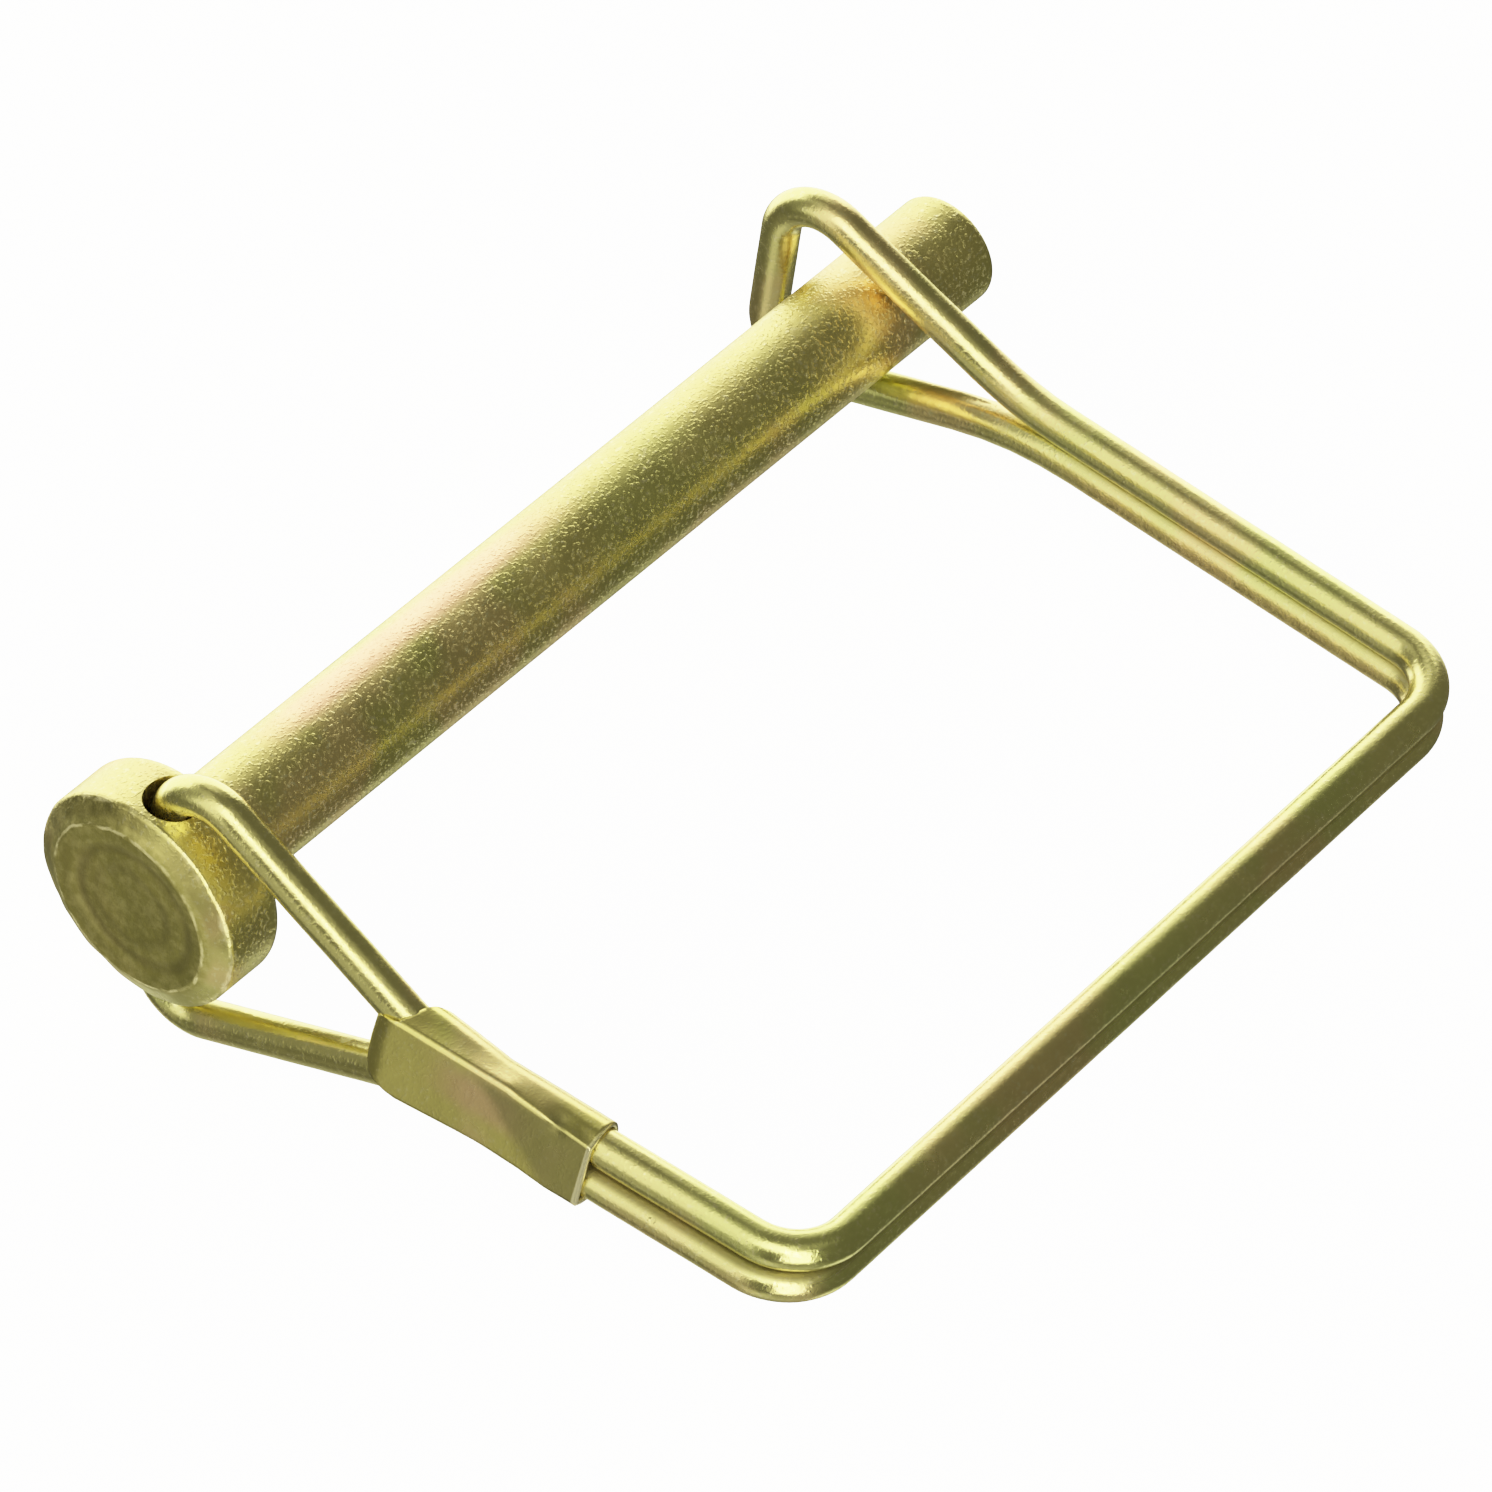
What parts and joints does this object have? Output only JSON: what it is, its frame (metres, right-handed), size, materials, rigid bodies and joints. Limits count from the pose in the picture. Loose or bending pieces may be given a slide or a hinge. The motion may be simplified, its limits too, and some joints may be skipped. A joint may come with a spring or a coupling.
{
  "type": "hitch pin lock",
  "caption": "Square wire-lock hitch pin: a headed pin with a doubled spring-wire bail that swings on the head, is crimped by a ferrule, and snaps over the pin's tip.",
  "frame": {"origin": "on the pin's axis, at the shoulder under the head", "axes": "+X along the shank to its tip, the latched bail lies towards -Y, +Z along the axis that the bail swings about in the head's cross hole"},
  "size_m": [0.0808, 0.0588, 0.0234],
  "materials": {
    "pin": "yellow zinc plated, semi-gloss, with faint speckle and rubbed edges",
    "wire": "yellow zinc plated, glossy drawn wire",
    "ferrule": "yellow zinc plated sheet, semi-gloss, with crimp marks"
  },
  "bodies": {
    "pin": {"headed_pin": "pin"},
    "bail": {"bail_strand_upper": "wire", "bail_strand_lower": "wire", "crimp_ferrule": "ferrule"},
    "spring_arm": {"spring_arm_upper": "wire", "spring_arm_lower": "wire", "end_loop": "wire"}
  },
  "joints": [
    {"name": "bail_swing", "type": "hinge", "parent": "pin", "child": "bail", "pos_m": [-0.00266, -0.0002, 0], "axis": [0, 0, -1], "range_deg": [0, 250], "deforming": ["end_loop"]},
    {"name": "arm_spring", "type": "hinge", "parent": "bail", "child": "spring_arm", "pos_m": [0.0681, -0.0433, 0], "axis": [0, 0, -1], "range_deg": [0, 15], "stiffness_Nm_per_rad": 9}
  ]
}
